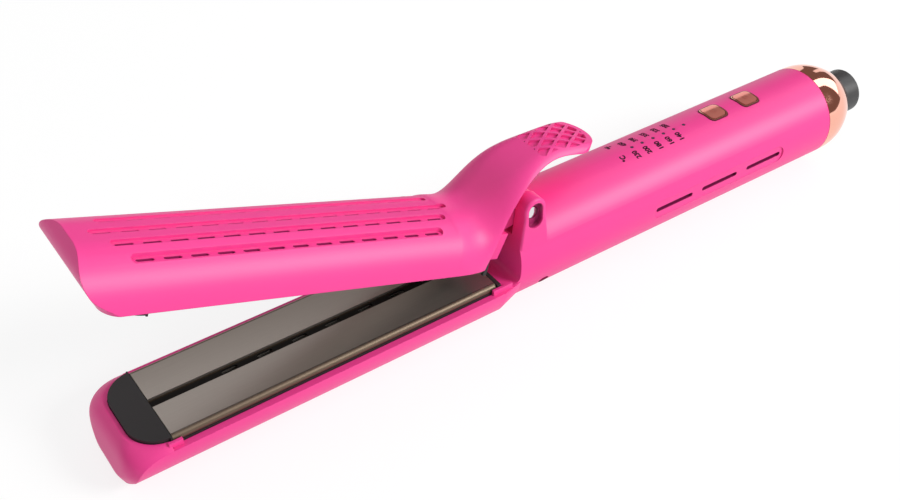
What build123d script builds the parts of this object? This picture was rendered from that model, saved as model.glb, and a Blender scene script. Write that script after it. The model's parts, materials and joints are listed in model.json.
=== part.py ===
"""Airflow hair straightener: a round handle with a fixed lower arm and a hinged upper arm.

The handle and both arms lie along X, with the cord end at +X. The part rests on its flat underside
at z = 0, and the jaw hinge stands over x = 0. Sizes are millimetres. The upper arm is drawn closed,
lying on the lower one, and is turned about the hinge to its open rest position when it is written.
"""
import os
from math import radians, sin, sqrt

from build123d import *

os.makedirs("parts", exist_ok=True)

# Clearances
seat_gap = 0.2  # between a fixed piece and its seat
run_gap = 0.4  # between bodies that move past each other
pin_clearance = 0.05  # radial, of a shaft in its bore

# Handle
handle_radius = 18.0
handle_wall = 2.4
handle_front_x = 5.0
handle_rear_x = 147.2
neck_x = -7.0
neck_round = 3.0  # where the ears' front edges meet the lower arm's rim
axis_z = handle_radius

# Arms, as one closed barrel
arm_spread = 1.8  # the arms stand this much wider than the handle, on each side
arm_wall = 2.45
upper_flank = 1.5  # height of the upright part of the upper arm's sides
lower_flank = 3.0
rim_gap = 3.0  # from the mating plane to each shell's rim
arm_rear_x = -15.0
tip_lip = 1.4  # from the mating plane to the top of the lower tip
tip_rear_x = -137.6  # the lower arm's rim is raised in front of this place
end_block_length = [4.6, 8.0]  # beside the tip, near side only, and at the rear, both sides
end_block_front_x = [-138.5, -19.0]
end_block_inset = 1.4  # from the arm's side
end_block_lip = 1.0  # from the mating plane to the blocks' tops

# Ends of the arms: share of the arm's height, front, half width over the arm's, corner radius
lower_tip = [
    (0.0, -147.4, -3.7, 12.4),
    (0.17, -150.4, -0.1, 11.0),
    (0.34, -151.9, 1.9, 10.6),
    (0.56, -152.7, 1.6, 10.6),
    (0.78, -153.3, -0.3, 13.0),
    (1.02, -151.2, 0.2, 11.5),
]
upper_tip = [
    (0.0, -148.5, 0.1, 9.0),
    (0.17, -150.6, 0.1, 6.0),
    (0.34, -152.8, 0.1, 3.6),
    (0.5, -154.9, 0.1, 2.0),
    (0.67, -156.4, 0.1, 2.0),
    (0.84, -156.4, 0.1, 2.2),
    (1.02, -155.2, 0.1, 3.0),
]

# Jaw hinge
hinge_rise = 21.5  # hinge axis over the handle's axis
jaw_open = 20.0
pin_radius = 2.5
ear_outer = 16.0
ear_inner = 10.2
ear_round = 1.0
ear_half_width = 4.5
ear_foot = 8.0
ear_foot_z = axis_z - 6.0
ear_crown = 2.2  # from the hinge axis up to the centre of the ear's round top
ear_slot_width = 6.0
ear_slot_height = 10.2
ear_slot_depth = 2.2
saddle_rise = 12.5  # floor between the ears, over the handle's axis
duct_width = 13.0
duct_height = 8.0
duct_drop = 8.8
lug_radius = 5.4
bracket_front_x = -25.0
bracket_half_width = 12.6
bracket_foot = 13.0  # top of the bracket's foot over the mating plane
bracket_gap = 0.9  # from the foot's rear to the ears' front edge, with the jaw closed
web_rear_x = -3.0
web_top = 29.5  # of the web's rear edge, over the mating plane
bracket_screw_x = -20.5
bracket_screw_y = 4.0
bracket_screw_length = 7.4

# Plates and what carries them
plate_margin = 2.9  # from the arm's side to the plate's long edge
plate_edge_radius = 1.7
plate_thickness = 2.0
plate_face_gap = 0.4  # between the two plates when the jaw is closed
plate_front_x = -136.4
plate_rear_x = -16.8
groove_half_width = 1.95
groove_depth = 1.4
strip_thickness = 0.5  # dark strip that lines the groove
strip_gap = 0.15
plate_slot_length = 5.6
plate_slot_width = 1.6
plate_slot_pitch = 12.6
plate_slot_x = -109.4
plate_slot_count = 7
nose_x = -146.9
nose_inset = 0.55  # a carrier's nose is this much narrower on each side than its tray
nose_rear_x = -137.2
nose_corner = 10.4
carrier_wall = 1.6
carrier_end = 1.4  # end wall behind the plate
carrier_floor = 1.6
air_slot_width = 5.0
mica_thickness = 0.6
heater_thickness = 3.0
heater_width = 10.0
heater_length = 104.0
sensor_radius = 1.2
sensor_length = 7.0

# Vent rows in the upper shell: distance from the centre line and first slot's front end
vent_length = 5.5
vent_width = 1.35
vent_pitch = 8.2
vent_groove_width = 2.7
vent_groove_depth = 0.9
vent_row_y = [0.0, 5.9, 11.4]
vent_row_x = [-148.2, -144.2, -140.2]
vent_count = [15, 14, 13]

# Thumb lever: place along X, half width, crown height over the mating plane, corner radius
lever_stations = [
    (-30.0, 19.8, 18.0, 16.5),
    (-25.0, 19.6, 18.4, 16.5),
    (-19.0, 18.6, 20.0, 16.2),
    (-12.0, 16.3, 27.3, 12.5),
    (-5.0, 14.0, 34.7, 8.1),
    (3.0, 11.4, 40.1, 6.7),
    (12.0, 10.4, 43.5, 6.0),
    (21.0, 10.3, 44.3, 3.0),
    (31.0, 10.3, 44.2, 2.4),
]
# Underside of the lever and rear edge of the shell, as seen from the side, closed
lever_underside = [
    (-20.0, -5.0),
    (-17.4, 3.0),
    (-14.2, 12.7),
    (-9.8, 23.6),
    (-3.6, 32.4),
    (5.0, 38.3),
    (14.0, 40.9),
    (23.0, 41.5),
    (33.0, 41.2),
]
lever_tip_x = 27.4
lever_half_width = 10.3

# Grip pockets in the lever: a lattice of diamonds, drawn in plan
pocket_step = (3.9, 2.8)  # half of a diamond's length and width, rib included
pocket_rib = 1.1
pocket_depth = 0.9
pocket_margin = 2.2
pocket_front_x = 2.5
pocket_rows = 9

# Controls on top of the handle
button_x = [98.0, 114.8]
button_size = 7.4
button_round = 1.6
button_gap = 0.25
button_proud = 0.4
button_travel = 0.6
bezel_width = 0.6
bezel_depth = 3.0
flange_overhang = 1.2
flange_thickness = 1.0
stem_radius = 1.5
led_x = [57.0, 62.0, 67.3, 72.5, 77.6, 82.7]
led_radius = 0.5

# Air intake in each side of the handle
intake_x = [64.6, 87.5, 110.7]
intake_length = 18.0
intake_width = 1.8
intake_margin = 1.6
intake_recess_width = 7.0
intake_recess_depth = 0.5
filter_thickness = 0.6
filter_half_angle = 13.0

# Tail
cap_length = 19.6
cap_shoulder = 2.6
cap_bend_length = 8.0  # the dome bends more over its last stretch
cap_bend_drop = 2.05
cap_end_radius = 10.4
cap_wall = 1.6
spigot_length = 5.0
swivel_radius = 9.0
swivel_length = 16.2
swivel_end_x = 176.2
swivel_round = 1.4
cord_bore_radius = 3.2
swivel_flange_radius = 11.0
swivel_flange_length = 2.4
retainer_thickness = 2.0
retainer_radius = 13.2
retainer_hole = 6.0

# Bottom cover
cover_front_x = 44.0
cover_rear_x = 140.0
cover_half_width = 12.0
screw_x = [50.0, 134.0]
screw_radius = 1.2
screw_head_radius = 2.4
screw_head_height = 1.4
boss_radius = 3.0

# Inside the handle
chassis_front_x = 44.0
chassis_rear_x = 140.0
chassis_top_z = axis_z - 4.4
chassis_thickness = 1.6
chassis_edge_gap = 0.3
post_radius = 2.0
post_x = [54.0, 128.0]
post_y = 6.0
board_front_x = 50.0
board_rear_x = 132.0
board_width = 18.0
board_thickness = 1.6
board_top_z = axis_z + 9.6
switch_size = 6.0
switch_height = 1.6
light_bar_width = 2.4
light_bar_height = 1.2
power_board_width = 22.0
power_board_length = 60.0
power_board_x = 91.0
power_standoff = 1.6
part_clearance = 1.0  # between the mains board's parts and the cover
capacitor_length = 14.0
capacitor_x = 108.0
heatsink_x = 78.0
heatsink_length = 16.0
heatsink_width = 12.0
fin_count = 4
fin_thickness = 1.0

# Fan
fan_front_x = 27.0
fan_length = 13.0
fan_ring_wall = 1.0
fan_hub_radius = 5.5
fan_cup_wall = 0.8
fan_shaft_radius = 0.8
rotor_length = 4.6
blade_count = 7
blade_thickness = 0.9
blade_pitch = 38.0
spoke_count = 3
spoke_width = 1.8

# Torsion spring
coil_radius = 3.5
coil_wire = 0.45
coil_pitch = 1.3
coil_half_turns = 9

# Worked out from the sizes above
arm_height = handle_radius
arm_half_width = handle_radius + arm_spread
upper_corner = arm_height - upper_flank
lower_corner = arm_height - lower_flank
inner_radius = handle_radius - handle_wall
neck_flat = handle_radius / 45  # half width of the flared section's flat where it meets the handle
lower_rim_z = axis_z - rim_gap
hinge_height = axis_z + hinge_rise
saddle_top = axis_z + saddle_rise
duct_z = axis_z - duct_drop
plate_half_width = arm_half_width - plate_margin
pocket_half_width = arm_half_width - arm_wall
carrier_half_width = pocket_half_width - seat_gap
plate_back = plate_face_gap / 2 + plate_thickness  # depth of a plate's back, from the mating plane
heater_face = plate_back + seat_gap
mica_face = heater_face + heater_thickness + seat_gap
floor_face = mica_face + mica_thickness + seat_gap
carrier_depth = floor_face + carrier_floor
carrier_rear_x = plate_rear_x + seat_gap + carrier_end
ear_top_z = hinge_height + ear_crown
ear_lean = (ear_foot - ear_half_width) / (hinge_height - ear_foot_z)  # of the ears' upright edges
lug_half_width = ear_inner - run_gap
coil_length = coil_pitch * coil_half_turns / 2
spring_bay = coil_length / 2 + coil_wire + run_gap
hinge_axis = Axis((0, 0, hinge_height), (0, 1, 0))
far = 300.0  # longer than the whole object


def ear_front_x(z):
    """Front edge of the ears at a height, seen from the side."""
    return -ear_half_width - ear_lean * max(hinge_height - z, 0)


def write(label, piece, turned=False):
    """Names a finished piece and writes it, turned open where it rides on the upper arm."""
    if turned:
        piece.part = piece.part.rotate(hinge_axis, jaw_open)
    piece.part.label = label
    export_step(piece.part, f"parts/{label}.step")


def half_section(x, half_width, height, corner, side):
    """Half of the barrel's section at x: flat mating side, round flanks and a narrow flat crown."""
    crown = axis_z + side * height
    shoulder = axis_z + side * (height - corner)
    flank = half_width - corner
    bend = corner * sqrt(0.5)
    with BuildSketch(Plane.YZ.offset(x)) as half:
        with BuildLine():
            Line((-half_width, axis_z), (-half_width, shoulder))
            ThreePointArc(
                (-half_width, shoulder), (-flank - bend, shoulder + side * bend), (-flank, crown)
            )
            Line((-flank, crown), (flank, crown))
            ThreePointArc(
                (flank, crown), (flank + bend, shoulder + side * bend), (half_width, shoulder)
            )
            Line((half_width, shoulder), (half_width, axis_z))
            Line((half_width, axis_z), (-half_width, axis_z))
        make_face()
    return half.sketch


def disc(x, radius):
    """A round section about the handle's axis at x."""
    with BuildSketch(Plane.YZ.offset(x)) as face:
        with Locations((0, axis_z)):
            Circle(radius)
    return face.sketch


def nose_plan(front_x, rear_x, half_width, corner, z):
    """Plan of a body that ends in a rounded nose towards the tip."""
    with BuildSketch(Plane.XY.offset(z)) as outline:
        with Locations(((front_x + rear_x) / 2, 0)):
            Rectangle(rear_x - front_x, 2 * half_width)
        fillet(outline.vertices().group_by(Axis.X)[0], corner)
    return outline.sketch


def tip_form(levels, rear_x, side):
    """The space behind an arm's end face, which widens away from the mating plane and turns back."""
    with BuildPart() as form:
        loft(
            [
                nose_plan(front_x, rear_x, arm_half_width + spread, corner, axis_z + side * share * arm_height)
                for share, front_x, spread, corner in levels
            ]
        )
    return form.part


def arm_inside(inset, corner, gap, rear_x, side):
    """The inside of an arm shell, drawn in by inset from its outer face, round a nose with a gap."""
    half_width = arm_half_width - inset
    front_x = nose_x - gap
    with BuildPart() as room:
        extrude(
            half_section(rear_x, half_width, arm_height - inset, corner - inset, side),
            amount=-(rear_x - front_x + 1),
        )
        with BuildSketch(Plane.XY.offset(axis_z - far / 2)) as plan:
            nose_half_width = carrier_half_width - nose_inset + gap
            add(nose_plan(front_x, rear_x + 1, nose_half_width, nose_corner + gap, 0))
            tray_front_x = nose_rear_x - gap
            with Locations(((tray_front_x + rear_x + 1) / 2, 0)):
                Rectangle(rear_x + 1 - tray_front_x, 2 * half_width)
        extrude(amount=far, mode=Mode.INTERSECT)
    return room.part


# Handle, hinge ears and lower arm shell, one moulding
with BuildPart() as ears:
    with BuildSketch(Plane.XZ.offset(-ear_outer)) as ear:
        with BuildLine():
            Polyline(
                (-ear_half_width, ear_top_z),
                (-ear_half_width, hinge_height),
                (-ear_foot, ear_foot_z),
                (ear_foot, ear_foot_z),
                (ear_half_width, hinge_height),
                (ear_half_width, ear_top_z),
            )
            ThreePointArc(
                (ear_half_width, ear_top_z),
                (0, ear_top_z + ear_half_width),
                (-ear_half_width, ear_top_z),
            )
        make_face()
    extrude(amount=2 * ear_outer)
    fillet(ears.faces().filter_by(Axis.Y).edges(), ear_round)

# Handle, up to the line of the ears' front edges
with BuildPart() as grip:
    extrude(disc(-2 * ear_foot, handle_radius), amount=handle_rear_x + 2 * ear_foot)
    with BuildSketch(Plane.XZ):
        with BuildLine():
            Polyline(
                (-far, lower_rim_z),
                (ear_front_x(lower_rim_z), lower_rim_z),
                (-ear_half_width, hinge_height),
                (-ear_half_width, far),
                (-far, far),
                close=True,
            )
        make_face()
        fillet(vertices().sort_by(Axis.Y)[:2].sort_by(Axis.X)[-1], neck_round)
    extrude(amount=far, both=True, mode=Mode.SUBTRACT)

with BuildPart() as tip:
    extrude(
        half_section(tip_rear_x, arm_half_width, arm_height, lower_corner, -1),
        amount=-arm_half_width,
    )
    add(tip_form(lower_tip, arm_rear_x, -1), mode=Mode.INTERSECT)
    with Locations((0, 0, axis_z - tip_lip)):
        Box(2 * far, far, far, align=(Align.CENTER, Align.CENTER, Align.MIN), mode=Mode.SUBTRACT)

with BuildPart() as main_housing:
    extrude(
        half_section(arm_rear_x, arm_half_width, arm_height, lower_corner, -1),
        amount=-(arm_rear_x - tip_rear_x),
    )
    loft(
        [
            half_section(arm_rear_x, arm_half_width, arm_height, lower_corner, -1),
            half_section(neck_x, handle_radius, handle_radius, handle_radius - neck_flat, -1),
        ]
    )
    with Locations((0, 0, lower_rim_z)):
        Box(2 * far, far, far, align=(Align.CENTER, Align.CENTER, Align.MIN), mode=Mode.SUBTRACT)
    add(tip.part)
    add(grip.part)
    add(ears.part)
    # Bay for the upper arm's lug
    with Locations(((handle_front_x - far) / 2, 0, saddle_top)):
        Box(
            far + handle_front_x,
            2 * ear_inner,
            far,
            align=(Align.CENTER, Align.CENTER, Align.MIN),
            mode=Mode.SUBTRACT,
        )
    # Hollow handle
    extrude(disc(handle_front_x + handle_wall, inner_radius), amount=far, mode=Mode.SUBTRACT)
    # Pocket for the carrier, and the duct that joins it to the handle
    add(arm_inside(arm_wall, lower_corner, seat_gap, arm_rear_x, -1), mode=Mode.SUBTRACT)
    with BuildSketch(Plane.YZ.offset(arm_rear_x - arm_wall)):
        with Locations((0, duct_z)):
            RectangleRounded(duct_width, duct_height, duct_height / 3)
    extrude(amount=handle_front_x - arm_rear_x + 3 * handle_wall, mode=Mode.SUBTRACT)
    # Blocks that close the slit at both ends of the rim
    block_width = arm_wall - end_block_inset
    block_y = arm_half_width - end_block_inset - block_width / 2
    front_block, rear_block = zip(end_block_front_x, end_block_length)
    for (front_x, length), y in ((front_block, -block_y), (rear_block, -block_y), (rear_block, block_y)):
        with Locations((front_x + length / 2, y, lower_rim_z)):
            Box(
                length,
                block_width,
                rim_gap - end_block_lip,
                align=(Align.CENTER, Align.CENTER, Align.MIN),
            )
    # Pin bore and the recesses that show its ends
    with Locations(Location((0, 0, hinge_height), (90, 0, 0))):
        Cylinder(pin_radius + pin_clearance, 2 * ear_outer, mode=Mode.SUBTRACT)
    for side in (-1, 1):
        with BuildSketch(Plane.XZ.offset(side * ear_outer)):
            with Locations((0, hinge_height)):
                SlotOverall(ear_slot_height, ear_slot_width, rotation=90)
        extrude(amount=-side * ear_slot_depth, mode=Mode.SUBTRACT)
    # Air intakes
    intake_span = intake_x[-1] - intake_x[0] + intake_length + 2 * intake_margin
    for side in (-1, 1):
        with BuildSketch(Plane.XZ.offset(side * (handle_radius - intake_recess_depth))):
            with Locations(((intake_x[0] + intake_x[-1]) / 2, axis_z)):
                SlotOverall(intake_span, intake_recess_width)
        extrude(amount=side * handle_wall, mode=Mode.SUBTRACT)
        with BuildSketch(Plane.XZ.offset(side * handle_radius)):
            with Locations(*[(x, axis_z) for x in intake_x]):
                SlotOverall(intake_length, intake_width)
        extrude(amount=-side * 2 * handle_wall, mode=Mode.SUBTRACT)
    # Openings for the buttons and the lights
    bezel_size = button_size + 2 * button_gap + 2 * bezel_width
    with BuildSketch(Plane.XY.offset(axis_z + inner_radius - handle_wall)):
        with Locations(*[(x, 0) for x in button_x]):
            RectangleRounded(bezel_size + seat_gap, bezel_size + seat_gap, button_round + bezel_width)
        with Locations(*[(x, 0) for x in led_x]):
            Circle(led_radius + seat_gap)
    extrude(amount=3 * handle_wall, mode=Mode.SUBTRACT)
    # Opening under the bottom cover
    with Locations(((cover_front_x + cover_rear_x) / 2, 0, 0)):
        Box(
            cover_rear_x - cover_front_x,
            2 * cover_half_width,
            2 * (handle_radius - sqrt(inner_radius**2 - cover_half_width**2) + handle_wall),
            mode=Mode.SUBTRACT,
        )
write("main_housing", main_housing)

# Cover over the opening in the underside of the handle
with BuildPart() as bottom_cover:
    extrude(disc(cover_front_x + seat_gap, handle_radius), amount=cover_rear_x - cover_front_x - 2 * seat_gap)
    extrude(disc(cover_front_x, inner_radius), amount=cover_rear_x - cover_front_x, mode=Mode.SUBTRACT)
    with Locations(((cover_front_x + cover_rear_x) / 2, 0, 0)):
        Box(
            cover_rear_x - cover_front_x,
            2 * (cover_half_width - seat_gap),
            2 * (handle_radius - sqrt(inner_radius**2 - cover_half_width**2) + handle_wall),
            mode=Mode.INTERSECT,
        )
    with Locations(*[(x, 0, 0) for x in screw_x]):
        Cylinder(screw_radius + seat_gap, far, mode=Mode.SUBTRACT)
        Cylinder(screw_head_radius + seat_gap, 2 * screw_head_height, mode=Mode.SUBTRACT)
write("bottom_cover", bottom_cover)

# Screws that hold the cover to the chassis
screw_top_z = chassis_top_z - chassis_thickness - seat_gap
with BuildPart() as cover_screws:
    with Locations(*[(x, 0, seat_gap) for x in screw_x]):
        Cylinder(
            screw_head_radius, screw_head_height - seat_gap, align=(Align.CENTER, Align.CENTER, Align.MIN)
        )
        Cylinder(screw_radius, screw_top_z - seat_gap, align=(Align.CENTER, Align.CENTER, Align.MIN))
write("cover_screws", cover_screws)

# Tray inside the handle that carries the boards
chassis_low = axis_z - (chassis_top_z - chassis_thickness)
chassis_half_width = sqrt((inner_radius - chassis_edge_gap) ** 2 - chassis_low**2)
boss_low_z = axis_z - sqrt(inner_radius**2 - boss_radius**2) + seat_gap
with BuildPart() as chassis:
    with Locations(((chassis_front_x + chassis_rear_x) / 2, 0, chassis_top_z)):
        Box(
            chassis_rear_x - chassis_front_x,
            2 * chassis_half_width,
            chassis_thickness,
            align=(Align.CENTER, Align.CENTER, Align.MAX),
        )
    with Locations(*[(x, 0, boss_low_z) for x in screw_x]):
        Cylinder(boss_radius, chassis_top_z - boss_low_z, align=(Align.CENTER, Align.CENTER, Align.MIN))
    with Locations(*[(x, y, chassis_top_z) for x in post_x for y in (-post_y, post_y)]):
        Cylinder(
            post_radius,
            board_top_z - board_thickness - seat_gap - chassis_top_z,
            align=(Align.CENTER, Align.CENTER, Align.MIN),
        )
    with Locations(
        *[
            (power_board_x + s * (power_board_length / 2 - post_radius), 0, chassis_top_z)
            for s in (-1, 1)
        ]
    ):
        Cylinder(
            post_radius,
            chassis_thickness + power_standoff - seat_gap,
            align=(Align.CENTER, Align.CENTER, Align.MAX),
        )
    with Locations(*[(x, 0, boss_low_z) for x in screw_x]):
        Cylinder(
            screw_radius + seat_gap,
            screw_top_z + seat_gap - boss_low_z,
            align=(Align.CENTER, Align.CENTER, Align.MIN),
            mode=Mode.SUBTRACT,
        )
write("chassis", chassis)

# Control board and its two switches
with BuildPart() as control_board:
    with Locations(((board_front_x + board_rear_x) / 2, 0, board_top_z)):
        Box(
            board_rear_x - board_front_x,
            board_width,
            board_thickness,
            align=(Align.CENTER, Align.CENTER, Align.MAX),
        )
write("control_board", control_board)

for x, label in zip(button_x, ("power_switch", "temperature_switch")):
    with BuildPart() as tact_switch:
        with Locations((x, 0, board_top_z)):
            Box(
                switch_size,
                switch_size,
                switch_height,
                align=(Align.CENTER, Align.CENTER, Align.MIN),
            )
            Cylinder(
                stem_radius,
                switch_height + seat_gap,
                align=(Align.CENTER, Align.CENTER, Align.MIN),
            )
    write(label, tact_switch)

# Light guide with one pin under each opening
with BuildPart() as led_lens:
    with Locations(((led_x[0] + led_x[-1]) / 2, 0, board_top_z + seat_gap)):
        Box(
            led_x[-1] - led_x[0] + light_bar_width,
            light_bar_width,
            light_bar_height,
            align=(Align.CENTER, Align.CENTER, Align.MIN),
        )
    with Locations(*[(x, 0, board_top_z + seat_gap) for x in led_x]):
        Cylinder(
            led_radius,
            axis_z + handle_radius - board_top_z - seat_gap,
            align=(Align.CENTER, Align.CENTER, Align.MIN),
        )
write("led_lens", led_lens)

# Push buttons in their bezels
switch_top_z = board_top_z + switch_height + seat_gap
flange_top_z = axis_z + inner_radius - handle_wall / 2
stem_low_z = switch_top_z + button_travel + seat_gap
for x, name in zip(button_x, ("power", "temperature")):
    with BuildPart() as button:
        with BuildSketch(Plane.XY.offset(flange_top_z)):
            with Locations((x, 0)):
                RectangleRounded(button_size, button_size, button_round)
        extrude(amount=handle_radius)
        with Locations((x, 0, flange_top_z)):
            Box(
                bezel_size + flange_overhang,
                bezel_size + flange_overhang,
                flange_thickness,
                align=(Align.CENTER, Align.CENTER, Align.MAX),
            )
        with Locations((x, 0, stem_low_z)):
            Cylinder(
                stem_radius,
                flange_top_z - stem_low_z,
                align=(Align.CENTER, Align.CENTER, Align.MIN),
            )
        extrude(disc(x - button_size, handle_radius + button_proud), amount=2 * button_size, mode=Mode.INTERSECT)
    write(f"{name}_button", button)
    with BuildPart() as bezel:
        with BuildSketch(Plane.XY.offset(axis_z + handle_radius - bezel_depth)):
            with Locations((x, 0)):
                RectangleRounded(bezel_size, bezel_size, button_round + bezel_width)
                RectangleRounded(
                    bezel_size - 2 * bezel_width,
                    bezel_size - 2 * bezel_width,
                    button_round + button_gap,
                    mode=Mode.SUBTRACT,
                )
        extrude(amount=handle_radius)
        extrude(disc(x - bezel_size, handle_radius + button_gap), amount=2 * bezel_size, mode=Mode.INTERSECT)
    write(f"{name}_bezel", bezel)

# Mains board under the chassis, with its tallest parts
power_board_top_z = chassis_top_z - chassis_thickness - power_standoff
with BuildPart() as power_board:
    with Locations((power_board_x, 0, power_board_top_z)):
        Box(
            power_board_length,
            power_board_width,
            board_thickness,
            align=(Align.CENTER, Align.CENTER, Align.MAX),
        )
write("power_board", power_board)

part_face_z = power_board_top_z - board_thickness - seat_gap
part_room = inner_radius - (axis_z - part_face_z) - part_clearance
capacitor_radius = part_room / 2
with BuildPart() as filter_capacitor:
    with Locations(Location((capacitor_x, 0, part_face_z - capacitor_radius), (0, 90, 0))):
        Cylinder(capacitor_radius, capacitor_length)
write("filter_capacitor", filter_capacitor)

heatsink_height = part_room - inner_radius + sqrt(inner_radius**2 - heatsink_width**2 / 4)
with BuildPart() as triac_heatsink:
    with Locations((heatsink_x, 0, part_face_z)):
        Box(
            heatsink_length,
            heatsink_width,
            heatsink_height,
            align=(Align.CENTER, Align.CENTER, Align.MAX),
        )
    fin_pitch = (heatsink_width - fin_thickness) / (fin_count - 1)
    with Locations((heatsink_x, 0, part_face_z - fin_thickness)):
        with GridLocations(heatsink_length, fin_pitch, 1, fin_count - 1):
            Box(
                heatsink_length,
                fin_pitch - fin_thickness,
                heatsink_height,
                align=(Align.CENTER, Align.CENTER, Align.MAX),
                mode=Mode.SUBTRACT,
            )
write("triac_heatsink", triac_heatsink)

# Filter behind each intake
filter_radius = inner_radius - seat_gap
for side, label in ((-1, "intake_filter_near"), (1, "intake_filter_far")):
    with BuildPart() as intake_filter:
        extrude(disc(intake_x[0] - intake_length / 2 - intake_margin, filter_radius), amount=intake_span)
        extrude(
            disc(intake_x[0] - intake_length, filter_radius - filter_thickness),
            amount=far,
            mode=Mode.SUBTRACT,
        )
        with Locations(((intake_x[0] + intake_x[-1]) / 2, side * filter_radius / 2, axis_z)):
            Box(
                intake_span,
                filter_radius,
                2 * filter_radius * sin(radians(filter_half_angle)),
                mode=Mode.INTERSECT,
            )
    write(label, intake_filter)

# Fan: ring with spokes and motor cup, motor with its shaft, rotor
fan_ring_radius = inner_radius - seat_gap
fan_rear_x = fan_front_x + fan_length
cup_front_x = fan_front_x + rotor_length + run_gap
with BuildPart() as fan_frame:
    extrude(disc(fan_front_x, fan_ring_radius), amount=fan_length)
    extrude(disc(fan_front_x, fan_ring_radius - fan_ring_wall), amount=fan_length, mode=Mode.SUBTRACT)
    extrude(disc(cup_front_x, fan_hub_radius), amount=fan_rear_x - cup_front_x)
    extrude(
        disc(cup_front_x, fan_hub_radius - fan_cup_wall),
        amount=fan_rear_x - cup_front_x - fan_cup_wall,
        mode=Mode.SUBTRACT,
    )
    spoke_length = fan_ring_radius - fan_ring_wall / 2 - fan_hub_radius + fan_cup_wall / 2
    with Locations((fan_rear_x - spoke_width / 2, 0, axis_z)):
        with Locations(*[Location((0, 0, 0), (i * 360 / spoke_count, 0, 0)) for i in range(spoke_count)]):
            with Locations((0, 0, fan_hub_radius - fan_cup_wall / 2)):
                Box(
                    spoke_width,
                    spoke_width,
                    spoke_length,
                    align=(Align.CENTER, Align.CENTER, Align.MIN),
                )
write("fan_frame", fan_frame)

motor_radius = fan_hub_radius - fan_cup_wall - seat_gap
with BuildPart() as fan_motor:
    extrude(
        disc(cup_front_x + seat_gap, motor_radius),
        amount=fan_rear_x - fan_cup_wall - 2 * seat_gap - cup_front_x,
    )
    extrude(disc(fan_front_x, fan_shaft_radius), amount=rotor_length + 2 * run_gap)
write("fan_motor", fan_motor)

with BuildPart() as fan_rotor:
    extrude(disc(fan_front_x, fan_hub_radius), amount=rotor_length)
    blade_radius = fan_ring_radius - fan_ring_wall - run_gap
    with Locations((fan_front_x + rotor_length / 2, 0, axis_z)):
        blade_angles = [360 / blade_count * i for i in range(blade_count)]
        with Locations(*[Location((0, 0, 0), (angle, 0, 0)) for angle in blade_angles]):
            with Locations(Location((0, 0, fan_hub_radius - fan_cup_wall), (0, 0, blade_pitch))):
                Box(
                    rotor_length,
                    blade_thickness,
                    blade_radius - fan_hub_radius + fan_cup_wall,
                    align=(Align.CENTER, Align.CENTER, Align.MIN),
                )
    extrude(disc(fan_front_x - 1, fan_shaft_radius + pin_clearance), amount=far, mode=Mode.SUBTRACT)
write("fan_rotor", fan_rotor)

# Domed tail cap
cap_front_x = handle_rear_x + seat_gap
cap_rear_x = handle_rear_x + cap_length
flange_wall_x = swivel_end_x - swivel_length + swivel_flange_length + run_gap
with BuildPart() as tail_cap:
    with BuildSketch(Plane.XZ):
        with BuildLine():
            shoulder_x = cap_front_x + cap_shoulder
            bend_x = cap_rear_x - cap_bend_length
            bend_z = axis_z + handle_radius - cap_bend_drop
            Line((cap_front_x, axis_z), (cap_front_x, axis_z + handle_radius))
            Line((cap_front_x, axis_z + handle_radius), (shoulder_x, axis_z + handle_radius))
            crest = TangentArc((shoulder_x, axis_z + handle_radius), (bend_x, bend_z), tangent=(1, 0))
            TangentArc((bend_x, bend_z), (cap_rear_x, axis_z + cap_end_radius), tangent=crest % 1)
            Line((cap_rear_x, axis_z + cap_end_radius), (cap_rear_x, axis_z))
            Line((cap_rear_x, axis_z), (cap_front_x, axis_z))
        make_face()
    revolve(axis=Axis((0, 0, axis_z), (1, 0, 0)))
    # Hollow behind the end wall
    with BuildSketch(Plane.XZ):
        with BuildLine():
            room_radius = handle_radius - cap_wall
            Line((cap_front_x, axis_z), (cap_front_x, axis_z + room_radius))
            Line((cap_front_x, axis_z + room_radius), (shoulder_x, axis_z + room_radius))
            TangentArc(
                (shoulder_x, axis_z + room_radius),
                (flange_wall_x, axis_z + swivel_flange_radius + run_gap),
                tangent=(1, 0),
            )
            Line((flange_wall_x, axis_z + swivel_flange_radius + run_gap), (flange_wall_x, axis_z))
            Line((flange_wall_x, axis_z), (cap_front_x, axis_z))
        make_face()
    revolve(axis=Axis((0, 0, axis_z), (1, 0, 0)), mode=Mode.SUBTRACT)
    extrude(disc(cap_front_x, swivel_radius + pin_clearance), amount=far, mode=Mode.SUBTRACT)
    # Spigot that slips into the handle
    extrude(disc(cap_front_x + cap_shoulder, inner_radius - seat_gap), amount=-spigot_length - cap_shoulder)
    extrude(
        disc(cap_front_x + cap_shoulder, inner_radius - seat_gap - cap_wall),
        amount=-spigot_length - cap_shoulder,
        mode=Mode.SUBTRACT,
    )
    with Locations((cap_front_x, 0, axis_z)):
        with BuildSketch(Plane.YZ.offset(cap_front_x)):
            with Locations((0, axis_z)):
                Circle(handle_radius - cap_wall)
                Circle(inner_radius - seat_gap - cap_wall, mode=Mode.SUBTRACT)
        extrude(amount=cap_wall)
write("tail_cap", tail_cap)

# Swivel that the cord leaves through
swivel_front_x = swivel_end_x - swivel_length
with BuildPart() as cord_swivel:
    extrude(disc(swivel_front_x, swivel_radius), amount=swivel_length)
    fillet(cord_swivel.edges().group_by(Axis.X)[-1], swivel_round)
    extrude(disc(swivel_front_x, swivel_flange_radius), amount=swivel_flange_length)
    extrude(disc(swivel_front_x - 1, cord_bore_radius), amount=far, mode=Mode.SUBTRACT)
write("cord_swivel", cord_swivel)

with BuildPart() as swivel_retainer:
    extrude(disc(swivel_front_x - run_gap, retainer_radius), amount=-retainer_thickness)
    extrude(disc(swivel_front_x - run_gap, retainer_hole), amount=-retainer_thickness, mode=Mode.SUBTRACT)
write("swivel_retainer", swivel_retainer)

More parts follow.
